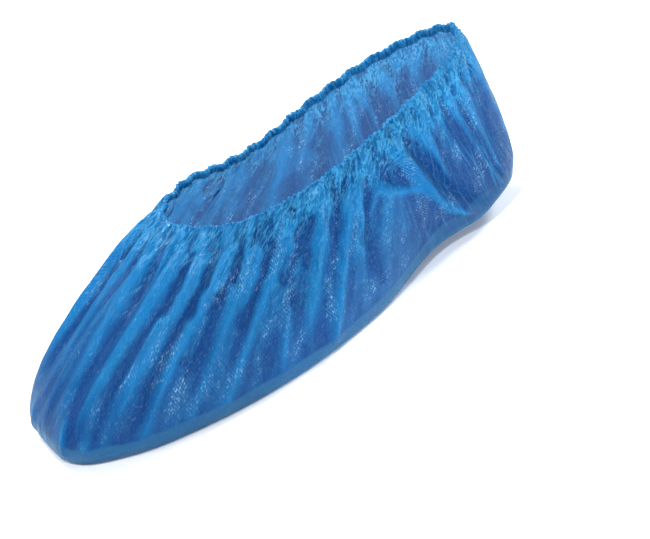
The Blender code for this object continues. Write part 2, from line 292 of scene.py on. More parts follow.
# How the tone changes at places down the wall: what is added (painted light near the hem, painted shade
# lower down), and how strongly the folds' painted light and shade show
TONE_KNOTS = (0.0, 0.14, 0.32, 0.60, 1.0)
TONE_DOWN = (0.0018, 0.0016, 0.0005, -0.0007, -0.0010)
TONE_STRENGTHS = (1.0, 1.0, 0.86, 0.64, 0.46)
# Where the heel's darker tone and the painted glow at its end begin, round the loop and down the wall, and
# how they fade in
HEEL_FADE = 0.06
HEEL_TOP = 0.12
HEEL_TOP_FADE = 0.2
HEEL_END_TONE_START = 0.90
HEEL_END_TONE_FADE = 0.07

# The film's fine relief in metres: embossed diamonds, crumples as size and steepness, soft unevenness
EMBOSS_PITCH = 0.0012
EMBOSS_DEPTH = 0.00007
CRUMPLES = ((0.0036, 0.38), (0.0014, 0.62))
CRUMPLE_STRETCH = (1.2, 0.65, 0.0)
CRUMPLE_BLEND = 0.4
STIR_SCALE = 260.0
STIR_REACH = (0.0018, 0.0018, 0.0)
SOFT_DEPTH = 0.0020
SOFT_SCALE = 70.0
SOFT_ROUGHNESS = 0.6
PATCH_STRETCH = (1.6, 0.6, 0.0)
PATCH_SCALE = 40.0
# Thin tension streaks at the heel: how far apart, long, high, slanted towards its middle, and how strongly a
# painted highlight lightens them
STREAK_GAP = 0.0055
STREAK_LENGTH = 0.11
STREAK_HEIGHT = 0.00022
STREAK_SLANT = 0.34
STREAK_HIGHLIGHT = 0.28
# Painted glints of the embossed film: size of their patches and of single sparks in metres, and how white
GLINT_PATCH = 0.016
SPARK_SIZE = 0.0013
GLINT_WHITENING = 0.58
# How far the upper edge of the paler band of painted glow above the sole rim wavers, as a share of the wall
BAND_WAVER = 0.05

# Ramps of the film's relief, gloss and painted light and shade: where each starts and ends on what it reads,
# and its values there
RAMP_COLUMNS = ("From Min", "From Max", "To Min", "To Max")
FILM_RAMPS = {
    "streak side": (0.0, 0.028, 1.0, 0.0),
    "streaks behind": (0.225, 0.260, 0.12, 1.0),
    "streaks above rim": (0.84, 0.94, 1.0, 0.3),
    "crumpled patches": (0.50, 0.62, 0.0, 0.65),
    "patches down": (0.55, 0.85, 1.0, 0.15),
    "hem depth beside": (0.02, 0.20, 1.7, 1.0),
    "crumpled hem": (0.10, 0.30, 1.0, 0.10),
    "crumples at fold": (0.0, 0.02, 0.7, 1.0),
    "crumples beside": (0.03, 0.16, 0.6, 1.0),
    "tone": (-0.0016, 0.0026, 0.0, 1.0),
    "pale band": (0.890, 0.915, 0.0, 1.0),
    "pale band behind": (0.24, 0.32, 1.0, 0.35),
    "sharp creases": (0.25, 0.70, 0.0, 1.0),
    "creases down": (0.12, 0.40, 0.88, 0.308),
    "lively patches": (0.53, 0.67, 0.13, 1.0),
    "glints beside": (0.015, 0.060, 0.25, 1.0),
    "glints down": (0.74, 0.90, 1.0, 0.0),
    "sparks": (0.57, 0.69, 0.0, 1.0),
    "dots": (0.6, 1.9, 0.0, 0.50),
    "gloss": (0.0, 1.0, 0.17, 0.11),
}

# Film colours: painted shade in the hollows, painted light on the ridges, a painted glow in the band above
# the rim, painted highlights of creases, painted glints, and gloss
PAINTED_SHADE_BLUE = (0.001, 0.050, 0.236, 1.0)
PAINTED_LIGHT_BLUE = (0.002, 0.195, 0.505, 1.0)
PAINTED_GLOW_BLUE = (0.022, 0.135, 0.320, 1.0)
CREASE_HIGHLIGHT_BLUE = (0.090, 0.560, 0.950, 1.0)
GLINT_WHITE = (0.50, 0.78, 0.98, 1.0)
SHINE_BLUE = (0.40, 0.80, 1.0, 1.0)
SHEEN_BLUE = (0.20, 0.75, 1.0, 1.0)
CLEAR_BLUE = (0.35, 0.60, 0.95, 1.0)
# How much the film mirrors, how soft its sheen is, and what shares of the light it lets through
SPECULAR_LEVEL = 0.48
SHEEN_WEIGHT = 0.30
SHEEN_ROUGHNESS = 0.30
GLOWS_THROUGH = 0.33
SEEN_THROUGH = 0.06

# The elastic's threads: dark and light, and how fine its ribs and threads are
ELASTIC_GREY = (0.70, 0.75, 0.80, 1.0)
ELASTIC_WHITE = (0.90, 0.92, 0.94, 1.0)
RIB_SCALE = 900.0
THREAD_SCALE = 1600.0

# The floor's half width, its gap under the sole, and its finish
FLOOR_REACH = 3.0
FLOOR_GAP = 0.0002
FLOOR_WHITE = (0.93, 0.94, 0.95, 1.0)
FLOOR_ROUGHNESS = 0.16

# Studio lights, all aimed at the cover's middle, and the surroundings
LIGHT_COLUMNS = ("name", "place", "size", "power")
LIGHTS = (
    ("key", (-0.78, -0.06, 1.02), 0.30, 17.0),
    ("side", (0.62, -0.40, 0.92), 0.11, 7.0),
    ("front", (-0.10, -0.98, 0.75), 0.07, 3.0),
    ("low", (1.06, 0.05, 0.58), 0.08, 4.0),
    ("rear", (0.85, 0.75, 0.40), 0.07, 2.0),
    ("back", (0.05, 0.95, 0.75), 0.25, 10.0),
)
SKY_COLOUR = (0.86, 0.94, 1.0, 1.0)
SKY_STRENGTH = 0.46

# The camera as fitted to the photo: where it stands, its lens, and the pixel that its aim falls on
CAMERA_AIM = (0.0, 0.0, 0.04)
CAMERA_AZIMUTH = 18.0
CAMERA_ELEVATION = 30.0
CAMERA_DISTANCE = 1.10
CAMERA_ROLL = 19.858
CAMERA_LENS = 118.22
AIM_PIXEL = (267.69, 244.75)
IMAGE_SIZE = (650, 539)

SEED = 7


def column(table, names, name):
    """One named column of a table."""
    place = names.index(name)
    return np.array([row[place] for row in table])


def smooth_read(shares, knots, values, mirrored):
    """Read a half table round the whole loop, with a smooth curve through its rows."""
    near = np.asarray(values, dtype=float)
    far = -near if mirrored else near
    whole_knots = np.concatenate((-knots[:0:-1], knots))
    whole_values = np.concatenate((far[:0:-1], near))
    x = np.concatenate((whole_knots[:-1] - 2.0, whole_knots, whole_knots[1:] + 2.0))
    y = np.concatenate((whole_values[:-1], whole_values, whole_values[1:]))
    gap = np.diff(x)
    rise = np.diff(y) / gap
    slope = np.zeros_like(y)
    slope[1:-1] = (gap[1:] * rise[:-1] + gap[:-1] * rise[1:]) / (gap[1:] + gap[:-1])
    left = np.clip(np.searchsorted(x, shares, side="right") - 1, 0, len(gap) - 1)
    t = (shares - x[left]) / gap[left]
    start_part = (1.0 + 2.0 * t) * (1.0 - t) ** 2 * y[left]
    end_part = t ** 2 * (3.0 - 2.0 * t) * y[left + 1]
    slope_part = t * (1.0 - t) * ((1.0 - t) * slope[left] - t * slope[left + 1]) * gap[left]
    return start_part + end_part + slope_part


def rib_values(shares):
    """Every column of the rib table at the given shares round the loop."""
    knots = column(RIBS, RIB_COLUMNS, "share")
    return {
        name: smooth_read(shares, knots, column(RIBS, RIB_COLUMNS, name), name in MIRRORED_COLUMNS)
        for name in RIB_COLUMNS[1:]
    }


def ramp(value):
    """Rises smoothly from 0 to 1."""
    t = np.clip(value, 0.0, 1.0)
    return t * t * (3.0 - 2.0 * t)


def wrapped(distance):
    """A distance round the loop, brought to between -1 and 1."""
    return (distance + 1.0) % 2.0 - 1.0


def hem_line(shares, values):
    """The upper end of each rib."""
    from_middle = wrapped(shares - FAR_RISE["place"]) / FAR_RISE["spread"]
    rise = FAR_RISE["height"] * np.exp(-from_middle ** 2)
    x = values["hem_out"] * OPENING_WIDTH / 2
    y = -COVER_LENGTH / 2 + OPENING_START + values["hem_back"] * OPENING_LENGTH
    z = (values["hem_up"] + rise) * HEEL_HEIGHT
    return np.stack((x, y, z), axis=-1)


def sole_rise(values):
    """How far the sole lies above its flat front at each rib: most at the heel's end."""
    behind = values["edge_back"]
    heel_end = HEEL_END_RISE * ramp((behind - HEEL_END_START) / (1.0 - HEEL_END_START))
    return HEEL_LIFT * ramp((behind - LIFT_START) / (LIFT_END - LIFT_START)) + heel_end


def edge_line(shares):
    """The lower end of each rib, where the wall meets the rounded rim of the sole."""
    values = rib_values(shares)
    x = (values["edge_out"] + values["bend"]) * COVER_WIDTH / 2
    y = -COVER_LENGTH / 2 + values["edge_back"] * COVER_LENGTH
    z = sole_rise(values) + SOLE_RIM_RADIUS * values["rim"] - FILM_WALL
    return np.stack((x, y, z), axis=-1)


def unit(vectors):
    """Vectors of length one."""
    return vectors / np.linalg.norm(vectors, axis=-1, keepdims=True)


def outward(shares):
    """The level direction out of the sole's outline."""
    step = 0.004
    along = edge_line(shares + step) - edge_line(shares - step)
    return unit(np.stack((along[..., 1], -along[..., 0], np.zeros(shares.shape)), axis=-1))


def wall_point(shares, down):
    """Points on the unfolded wall, down from the hem (0) to the sole rim (1), each rib a cubic curve."""
    values = rib_values(shares)
    half_width = COVER_WIDTH / 2
    hem = hem_line(shares, values)
    edge = edge_line(shares)
    out = outward(shares)
    crown = hem + (edge - hem) * values["lean"][..., None] + out * (values["swell"] * half_width)[..., None]
    crown[..., 2] = hem[..., 2] * values["crown_up"]
    belly = edge + out * (values["belly_out"] * half_width)[..., None]
    belly[..., 2] = hem[..., 2] * values["belly_up"]
    t = down[..., None]
    return (1 - t) ** 3 * hem + 3 * (1 - t) ** 2 * t * crown + 3 * (1 - t) * t ** 2 * belly + t ** 3 * edge


def wall_directions(shares, down):
    """Unit vectors in the wall square to the hem, and out of the wall."""
    step = 0.01
    low = wall_point(shares, np.clip(down + step, 0.0, 1.0))
    high = wall_point(shares, np.clip(down - step, 0.0, 1.0))
    along = unit(wall_point(shares + step, down) - wall_point(shares - step, down))
    out = unit(np.cross(along, high - low))
    return np.cross(out, along), out


def fold_height(shares, down):
    """How far the folds and welds push the film out of the wall."""
    total = np.zeros(shares.shape)
    for row in FOLDS:
        fold = dict(zip(FOLD_COLUMNS, row))
        middle = fold["place"] + fold["drift"] * down
        spread = fold["width"] * FOLD_NARROWING * (1.0 + FOLD_WIDENING * down)
        across = np.exp(-np.abs(wrapped(shares - middle) / spread) ** FOLD_SHARPNESS)
        rise = ramp((down - fold["start"]) / FOLD_FADE)
        fall = ramp((fold["stop"] + FOLD_FADE - down) / FOLD_RUN_OUT) if fold["stop"] < 1.0 else 1.0
        total += fold["height"] * across * rise * fall
    return total * COVER_WIDTH / 2


def crease_height(shares, down):
    """How far the sharp tension creases stand out of the wall."""
    total = np.zeros(shares.shape)
    for row in CREASES:
        crease = dict(zip(CREASE_COLUMNS, row))
        middle = crease["place"] + crease["drift"] * down
        across = np.exp(-np.abs(wrapped(shares - middle) / crease["width"]) ** CREASE_SHARPNESS)
        rise = ramp((down - crease["start"]) / FOLD_FADE)
        fall = ramp((crease["stop"] - down) / FOLD_FADE + CREASE_END)
        total += crease["height"] * across * (rise * fall)
    return total


def lip_height(shares, down):
    """How far the pockets, bulges and short lips stand out of the wall."""
    total = np.zeros(shares.shape)
    for row in LIPS:
        lip = dict(zip(LIP_COLUMNS, row))
        length = wrapped(lip["to_place"] - lip["from_place"]) * WALL_SPANS[0]
        depth = (lip["to_down"] - lip["from_down"]) * WALL_SPANS[1]
        x = wrapped(shares - lip["from_place"]) * WALL_SPANS[0]
        y = (down - lip["from_down"]) * WALL_SPANS[1]
        part = np.clip((x * length + y * depth) / (length ** 2 + depth ** 2), 0.0, 1.0)
        distance = np.hypot(x - part * length, y - part * depth)
        total += lip["height"] * np.exp(-(distance / lip["width"]) ** LIP_SHARPNESS)
    return total


def minor_height(shares, down):
    """How far the smaller uneven folds push the film out of the wall; they drift as the main folds do."""
    random = np.random.default_rng(SEED + 2)
    places = column(FOLDS, FOLD_COLUMNS, "place")
    drifts = column(FOLDS, FOLD_COLUMNS, "drift")
    order = np.argsort(places)
    total = np.zeros(shares.shape)
    for _ in range(MINOR_FOLDS):
        place = random.uniform(-1.0, 1.0)
        drift = np.interp(place, places[order], drifts[order]) + random.normal() * MINOR_STRAY
        calm = HEEL_NARROWING if abs(place) > HEEL_START else 1.0
        width = random.uniform(*MINOR_WIDTHS) * calm
        height = random.uniform(*MINOR_HEIGHTS) * random.choice(MINOR_SIGNS) * calm
        stop = MINOR_STOPS[0] + (MINOR_STOPS[1] - MINOR_STOPS[0]) * random.uniform() ** 2
        start = random.uniform(0.0, MINOR_START) + MINOR_LATE_START * random.uniform() ** 4
        bow = random.normal() * MINOR_BOW
        middle = place + drift * down + bow * np.sin(math.pi * down)
        spread = width * (MINOR_NARROWING + MINOR_WIDENING * down)
        across = np.exp(-np.abs(wrapped(shares - middle) / spread) ** MINOR_SHARPNESS)
        along = ramp((down - start) / MINOR_RISE) * ramp((stop - down) / MINOR_RUN_OUT + MINOR_END)
        total += height * across * along
    return total


def gather_wave(shares):
    """The solid hem's wave, from -1 to 1."""
    return np.sin(math.pi * GATHER_COUNT * shares)


def elastic_line(shares):
    """The middle of the hem's fold, where the elastic lies, with the directions up and out there."""
    top = np.zeros(shares.shape)
    up, out = wall_directions(shares, top)
    place = wall_point(shares, top) + out * (GATHER_HEIGHT * gather_wave(shares))[..., None]
    place[..., 2] += GATHER_SCALLOP * np.cos(math.pi * GATHER_COUNT * shares)
    radius = ELASTIC_THICKNESS / 2 + ELASTIC_GAP + FILM_WALL
    return place - out * radius, up, out


def film_base(shares, down):
    """The film's resting surface: the solid's wall, drawn in at the hem to the thinner fold of the film."""
    out = wall_directions(shares, down)[1]
    fade = 1.0 - ramp(down / GATHER_REACH)
    gather = GATHER_HEIGHT * gather_wave(shares) * fade
    thinner = ELASTIC_THICKNESS / 2 + ELASTIC_GAP + FILM_WALL - HEM_RADIUS
    drawn = thinner * (1.0 - ramp(down / HEM_BLEND))
    base = wall_point(shares, down) + out * (gather - drawn)[..., None]
    base[..., 2] += GATHER_SCALLOP * np.cos(math.pi * GATHER_COUNT * shares) * fade
    return base, out


def loop_noise(shares, random, counts):
    """Smooth noise of about -1 to 1 that closes round the loop."""
    total = np.zeros(shares.shape)
    for _ in range(UNEVEN_WAVES):
        count = int(random.integers(*counts))
        total += np.sin(math.pi * count * shares + random.uniform(0, 2 * math.pi))
    return total / math.sqrt(UNEVEN_WAVES / 2)


def elastic_floor(shares, down, base, out):
    """The least lift that keeps the film clear of the elastic beside it."""
    centre, _, aside = elastic_line(shares[0])
    missing = ELASTIC_CLEARANCE - ((base - centre) * aside).sum(axis=2)
    needed = missing / (out * aside).sum(axis=2)
    return np.where(down < ELASTIC_REACH, needed, -1.0)


def ruffle_waves(shares):
    """The fine ruffles of the gathered hem: how far each point stands out and up, from about -1 to 1."""
    random = np.random.default_rng(SEED)
    drift = loop_noise(shares, random, DRIFT_COUNTS) * RUFFLE_UNEVENNESS
    strength = 1.0 + RUFFLE_STRENGTH * loop_noise(shares, random, STRENGTH_COUNTS)
    turn = math.pi * RUFFLES * shares + drift
    return np.sin(turn) * strength, np.cos(turn + SCALLOP_TURN) * strength


def wall_grid(coarser):
    """Shares and downs of one level's grid, rings by columns."""
    columns = RUFFLES * COLUMNS_A_RUFFLE // coarser
    rings = (WALL_RINGS - 1) // coarser + 1
    shares = -1.0 + 2.0 * np.arange(columns) / columns
    down = np.linspace(0.0, 1.0, rings)
    return np.meshgrid(shares, down)


def grid_noise(shares, down, random):
    """Noise of about -1 to 1 over the wall, finer round the loop than down it."""
    total = np.zeros(shares.shape)
    for _ in range(START_WAVES):
        count = int(random.integers(*START_COUNTS))
        slant = random.uniform(-START_SLANT, START_SLANT)
        total += np.sin(math.pi * count * shares + slant * down + random.uniform(0, 2 * math.pi))
    return total / math.sqrt(START_WAVES / 2)


def finer(points, rings, columns):
    """The points of a grid read on a grid of half the spacing."""
    wide = np.empty((points.shape[0], columns, 3))
    wide[:, 0::2] = points
    wide[:, 1::2] = (points + np.roll(points, -1, axis=1)) / 2
    tall = np.empty((rings, columns, 3))
    tall[0::2] = wide
    tall[1::2] = (wide[:-1] + wide[1:]) / 2
    return tall


def spare_width(down, shares):
    """How much longer the film is round the loop than the worn wall, as a share of it."""
    heel = ramp((np.abs(shares) - SPARE_HEEL_START) / SPARE_HEEL_FADE)
    below = SPARE_BELOW * (1.0 - SPARE_HEEL_CUT * heel)
    gathered = (SPARE_AT_HEM - below) * np.exp(-down / SPARE_FADE)
    return gathered + below * (1.0 - down) + SPARE_EVERYWHERE


def rest_lengths(folded, spare, link):
    """The length of each link on the flat film, from the wall with its folds and the spare width."""
    rings, columns = link["rings"], link["columns"]
    count = folded.shape[0] - rings
    step = np.roll(folded, -columns, axis=1)[rings:] - folded[:count]
    along = np.roll(folded, -1, axis=1) - np.roll(folded, 1, axis=1)
    along = unit(along)[:count]
    across = (step * along).sum(axis=2)
    rest = step + along * (across * spare[:count])[..., None]
    length = np.linalg.norm(rest, axis=2)
    return length * TAUT if (rings, columns) == (1, 0) else length


def relax(points, base, out, height, low, high, spare, steps):
    """Let the film's links find their lengths while it stays near the main folds."""
    rings = points.shape[0]
    links = [dict(zip(LINK_COLUMNS, row)) for row in LINKS]
    folded = base + out * height[..., None]
    rests = [rest_lengths(folded, spare, link) for link in links]
    hold = np.interp(np.linspace(0.0, 1.0, rings), HOLD_KNOTS, HOLD_VALUES)[:, None, None]
    first, last = points[0].copy(), points[-1].copy()
    for _ in range(steps):
        for link, rest in zip(links, rests):
            apart, aside = link["rings"], link["columns"]
            other = np.roll(points, -aside, axis=1)[apart:]
            step = other - points[:rings - apart]
            length = np.linalg.norm(step, axis=2)
            strain = (length - rest) / length
            firmness = np.where(strain > 0.0, link["pull"], link["push"])
            move = step * (strain * firmness)[..., None]
            points[:rings - apart] += move
            points[apart:] -= np.roll(move, aside, axis=1)
        stray = points - base
        lift = (stray * out).sum(axis=2)
        slide = stray - out * lift[..., None]
        lift = np.clip(lift, low, high)
        points = base + out * lift[..., None] + slide * hold
        points[0], points[-1] = first, last
    return points


def clear_of_elastic(points):
    """Push points off the outer face of the elastic, which is a strip of straight pieces."""
    corners = -1.0 + 2.0 * np.arange(ELASTIC_COLUMNS + 1) / ELASTIC_COLUMNS
    centre, up, aside = elastic_line(corners)
    pieces = np.arange(ELASTIC_COLUMNS * ELASTIC_PIECES) / ELASTIC_PIECES
    before = pieces.astype(int)
    part = (pieces - before)[:, None]
    ends = (centre, up, aside)
    centre, up, aside = (line[before] * (1.0 - part) + line[before + 1] * part for line in ends)
    flat = points.reshape(-1, 3)
    nearest = np.array([np.argmin(((centre - point) ** 2).sum(axis=1)) for point in flat])
    step = flat - centre[nearest]
    below = -(step * up[nearest]).sum(axis=1)
    missing = ELASTIC_CLEARANCE - (step * aside[nearest]).sum(axis=1)
    beside = below < ELASTIC_GAP + ELASTIC_WIDTH + 2 * ELASTIC_CLEARANCE
    push = np.where(beside, np.maximum(missing, 0.0), 0.0)
    return (flat + aside[nearest] * push[:, None]).reshape(points.shape)


def relaxed_wall(ruffle_line):
    """The wall of the film, relaxed level by level from a coarse grid to the finest."""
    random = np.random.default_rng(SEED + 1)
    points = None
    for row in LEVELS:
        level = dict(zip(LEVEL_COLUMNS, row))
        shares, down = wall_grid(level["coarser"])
        base, out = film_base(shares, down)
        height = fold_height(shares, down) + crease_height(shares, down) + minor_height(shares, down)
        height += lip_height(shares, down)
        floor = elastic_floor(shares, down, base, out)
        low = np.maximum(height - np.interp(down, ROOM_KNOTS, ROOM_IN), floor)
        high = np.maximum(height + np.interp(down, ROOM_KNOTS, ROOM_OUT), low + ELASTIC_CLEARANCE)
        spare = spare_width(down, shares)
        if points is None:
            start = height + (high - height) * START_SHARE * grid_noise(shares, down, random)
            points = base + out * start[..., None]
        else:
            points = finer(points, *shares.shape)
            jolt = JOLT * (high - height) * random.normal(size=shares.shape) * np.exp(-down / JOLT_FADE)
            points = points + out * jolt[..., None]
        points[0] = ruffle_line(shares[0])
        points[-1] = base[-1] + out[-1] * height[-1][:, None]
        steps = level["steps"]
        points = relax(points, base, out, height, low, high, spare, steps)
    beside = int(ELASTIC_REACH * WALL_RINGS) + 1
    points[1:beside] = clear_of_elastic(points[1:beside])
    return shares, down, base, out, points


def hem_reach(wave):
    """How far the ruffled film stands off the middle of the elastic."""
    return np.maximum(HEM_RADIUS + RUFFLE_DEPTH * (RUFFLE_STAND_OFF + wave), ELASTIC_CLEARANCE)


def hem_side(shares):
    """The outer side of the hem's fold, ruffled, where the wall's film begins."""
    centre, _, out = elastic_line(shares)
    wave = ruffle_waves(shares)[0]
    return centre + out * hem_reach(wave)[..., None]


def hem_rings(shares):
    """Rings of the hem's fold, from the flap's free edge inside over the elastic to the wall outside."""
    centre, up, out = elastic_line(shares)
    wave, scallop = ruffle_waves(shares)
    rise = (RUFFLE_SCALLOP * scallop)[..., None]
    outer = hem_reach(wave)[..., None]
    inner = hem_reach(-wave)[..., None]
    rings = []
    for row in FLAP_RINGS:
        flap = dict(zip(FLAP_COLUMNS, row))
        rings.append(centre - out * inner * flap["reach"] - up * (FLAP_DEPTH * flap["depth"]))
    for step in range(FLAP_ARC_STEPS):
        turn = math.pi * (1.0 - step / FLAP_ARC_STEPS)
        reach = inner if turn > math.pi / 2 else outer
        top = centre + out * reach * math.cos(turn)
        rings.append(top + up * (HEM_RADIUS * math.sin(turn) + rise * math.sin(turn)))
    return rings


def rim_rings(shares):
    """Rings of the rounded rim, from the wall's lower edge in to the sole."""
    edge = edge_line(shares)
    out = outward(shares)
    radius = (SOLE_RIM_RADIUS * rib_values(shares)["rim"])[:, None]
    rings = []
    for step in range(1, RIM_ARC_STEPS + 1):
        turn = math.pi / 2 * step / RIM_ARC_STEPS
        ring = edge - out * radius * (1.0 - math.cos(turn))
        ring[:, 2] = edge[:, 2] - radius[:, 0] * math.sin(turn)
        rings.append(ring)
    return rings


def sole_points(ring):
    """Points across the sole, between the near and the far half of its outline."""
    count = len(ring)
    middle = count // 2
    inner = []
    for step in range(1, middle):
        near, far = ring[(middle + step) % count], ring[middle - step]
        for strip in range(1, SOLE_STRIPS):
            share = strip / SOLE_STRIPS
            inner.append(near * (1.0 - share) + far * share)
    return np.array(inner)


def sole_faces(count, start, inner_start):
    """Quads across the sole, with triangles at the toe and the heel."""
    middle = count // 2
    faces = []

    def crossing(step):
        """The points of one line across the sole, from the near side to the far side."""
        near = start + (middle + step) % count
        far = start + middle - step
        first = inner_start + (step - 1) * (SOLE_STRIPS - 1)
        return [near, *range(first, first + SOLE_STRIPS - 1), far]

    lines = [crossing(step) for step in range(1, middle)]
    for one, two in zip(lines, lines[1:]):
        for strip in range(SOLE_STRIPS):
            faces.append((one[strip], one[strip + 1], two[strip + 1], two[strip]))
    toe, heel = start + middle, start
    for strip in range(SOLE_STRIPS):
        faces.append((toe, lines[0][strip + 1], lines[0][strip]))
        faces.append((heel, lines[-1][strip], lines[-1][strip + 1]))
    return faces


def ring_faces(ring_count, columns):
    """Quads between neighbouring rings."""
    faces = []
    for ring in range(ring_count - 1):
        upper = ring * columns
        lower = upper + columns
        for here in range(columns):
            after = (here + 1) % columns
            faces.append((upper + here, lower + here, lower + after, upper + after))
    return faces


def flat_places(rings):
    """Where each ring's points lie on the flat film, in metres: along it and down it."""
    columns = rings[0].shape[0]
    shares = -1.0 + 2.0 * np.arange(columns) / columns
    depth = np.zeros(columns)
    places = []
    for before, ring in zip([rings[0], *rings], rings):
        depth = depth + np.linalg.norm(ring - before, axis=1).mean()
        places.append(np.stack((shares * FLAT_HALF_LOOP, depth), axis=1))
    return np.concatenate(places)


def painted_wall_light(shares, down, lift):
    """Painted light and shade of the wall's film: a painted glow where it stands off, painted highlights on
    ridges, creases and bulges, painted shade in valleys and pockets, painted light near the hem and painted
    shade lower down, a darker heel and a painted glow at its end.
    """
    beside = sum(np.roll(lift, step, axis=1) for step in range(-TONE_REACH, TONE_REACH + 1))
    tone = lift * TONE_OF_LIFT + (lift - beside / (2 * TONE_REACH + 1)) * TONE_OF_RIDGES
    tone *= np.interp(down, TONE_KNOTS, TONE_STRENGTHS)
    tone += (crease_height(shares, down) + lip_height(shares, down)) * TONE_OF_CREASES
    tone += np.interp(down, TONE_KNOTS, TONE_DOWN)
    heelward = np.abs(shares)
    heel = ramp((heelward - HEEL_START) / HEEL_FADE) * ramp((down - HEEL_TOP) / HEEL_TOP_FADE)
    heel_end = ramp((heelward - HEEL_END_TONE_START) / HEEL_END_TONE_FADE)
    return tone + TONE_OF_HEEL * heel + TONE_OF_HEEL_END * heel_end


def film_mesh(points, faces, places, values):
    """The film's mesh, with its places on the flat film as UVs and the named values at each point."""
    mesh = bpy.data.meshes.new("film_bag")
    mesh.from_pydata(points.tolist(), [], faces)
    layer = mesh.uv_layers.new(name="flat_film")
    corners = np.empty(len(mesh.loops), dtype=np.int32)
    mesh.loops.foreach_get("vertex_index", corners)
    layer.data.foreach_set("uv", places[corners].astype(np.float32).ravel())
    for name, numbers in values.items():
        attribute = mesh.attributes.new(name, "FLOAT", "POINT")
        attribute.data.foreach_set("value", numbers.astype(np.float32))
    mesh.shade_smooth()
    return mesh


def build_film():
    """The film bag as one thin surface: hem, wall and rim in rings round the loop, and the sole across."""
    shares, down, base, out, wall = relaxed_wall(hem_side)
    loop = shares[0]
    columns = len(loop)
    hem = hem_rings(loop)
    rings = [*hem, *wall, *rim_rings(loop)]
    sole = sole_points(rings[-1])
    points = np.concatenate((*rings, sole))
    faces = ring_faces(len(rings), columns)
    faces += sole_faces(columns, (len(rings) - 1) * columns, len(rings) * columns)
    places = np.concatenate((flat_places(rings), sole[:, :2] + np.array(FLAT_SOLE_PLACE)))

    # Painted light and shade of the wall, worked out from how far the film stands off it
    tone = painted_wall_light(shares, down, ((wall - base) * out).sum(axis=2)).ravel()
    below = RIM_ARC_STEPS * columns
    hem_points = len(hem) * columns
    values = {
        "down": np.concatenate((np.zeros(hem_points), down.ravel(), np.ones(below + len(sole)))),
        # Named lift, but it holds the painted light and shade tone; the sole gets a dark painted shade
        "lift": np.concatenate((np.full(hem_points, TONE_OF_HEM), tone, np.full(below, TONE_OF_HEM),
                                np.full(len(sole), TONE_DOWN[-1]))),
    }
    film = bpy.data.objects.new("film_bag", film_mesh(points, faces, places, values))
    bpy.context.scene.collection.objects.link(film)
    return film


class Nodes:
    """Adds shader nodes to a material and links their inputs by name."""

    def __init__(self, name):
        self.material = bpy.data.materials.new(name)
        self.material.use_nodes = True
        self.tree = self.material.node_tree
        self.tree.nodes.clear()

    def add(self, kind, settings=(), **inputs):
        """One node; an input is a value or another node's output."""
        node = self.tree.nodes.new(kind)
        for key, value in dict(settings).items():
            setattr(node, key, value)
        for key, value in inputs.items():
            name = key.replace("_", " ")
            socket = node.inputs[int(key[1:])] if key[1:].isdigit() else node.inputs[name]
            if isinstance(value, bpy.types.NodeSocket):
                self.tree.links.new(value, socket)
            else:
                socket.default_value = value
        return node

    def math(self, operation, *values):
        """The output of one Math node."""
        inputs = {f"i{place}": value for place, value in enumerate(values)}
        return self.add("ShaderNodeMath", {"operation": operation}, **inputs).outputs[0]

    def product(self, first, *others):
        """All the given values multiplied."""
        for other in others:
            first = self.math("MULTIPLY", first, other)
        return first

    def vector(self, operation, *values, output=0):
        """One output of a Vector Math node."""
        inputs = {f"i{place}": value for place, value in enumerate(values)}
        return self.add("ShaderNodeVectorMath", {"operation": operation}, **inputs).outputs[output]

    def ramp(self, value, name):
        """A value read on one of the film's named ramps."""
        ends = dict(zip(RAMP_COLUMNS, FILM_RAMPS[name]))
        return self.add("ShaderNodeMapRange", Value=value, **ends).outputs[0]

    def noise(self, place, scale, detail, output="Fac", **inputs):
        """One output of a Noise Texture node."""
        node = self.add("ShaderNodeTexNoise", Vector=place, Scale=scale, Detail=detail, **inputs)
        return node.outputs[output]

    def mix(self, share, one, two):
        """The colour between two others."""
        return self.add("ShaderNodeMix", {"data_type": "RGBA"}, i0=share, i6=one, i7=two).outputs[2]


def embossing(n, along, across):
    """Small diamonds on the flat film, from -2 to 2."""
    turns = 2 * math.pi / (EMBOSS_PITCH * math.sqrt(2))
    one = n.math("SINE", n.math("MULTIPLY", n.math("ADD", along, across), turns))
    two = n.math("SINE", n.math("MULTIPLY", n.math("SUBTRACT", along, across), turns))
    return n.math("ADD", one, two)


def crumples(n, drawn_out):
    """Tilted facets of crumpled film at two sizes: their height in metres, and a random value per facet that
    picks where a painted highlight goes.
    """
    stir = n.noise(drawn_out, STIR_SCALE, 1.0, "Color")
    stirred = n.vector("MULTIPLY_ADD", stir, STIR_REACH, drawn_out)
    height, shine = None, None
    for size, steepness in CRUMPLES:
        cells = n.add("ShaderNodeTexVoronoi", Vector=stirred, Scale=1 / size)
        inside = n.vector("SUBTRACT", stirred, cells.outputs["Position"])
        tilt = n.vector("MULTIPLY_ADD", cells.outputs["Color"], (2 * steepness,) * 3, (-steepness,) * 3)
        facet = n.vector("DOT_PRODUCT", inside, tilt, output="Value")
        shade = n.add("ShaderNodeSeparateXYZ", i0=cells.outputs["Color"]).outputs[0]
        height = facet if height is None else n.math("ADD", height, facet)
        shine = shade if shine is None else n.math("MULTIPLY", n.math("POWER", shine, CRUMPLE_BLEND), shade)
    return height, shine


def tension_streaks(n, along, across, down):
    """Thin slanted lines of tension at the heel, from 0 to 1."""
    sideways = n.math("ABSOLUTE", along)
    heelward = n.math("SUBTRACT", sideways, n.math("MULTIPLY", across, STREAK_SLANT))
    drawn = n.add("ShaderNodeCombineXYZ", i0=n.math("MULTIPLY", heelward, 1 / STREAK_GAP),
                  i1=n.math("MULTIPLY", across, 1 / STREAK_LENGTH)).outputs[0]
    ripple = n.math("ABSOLUTE", n.math("SUBTRACT", n.noise(drawn, 1.0, 1.0), 0.5))
    thin = n.ramp(ripple, "streak side")
    behind = n.ramp(sideways, "streaks behind")
    return n.product(thin, behind, n.ramp(down, "streaks above rim"))


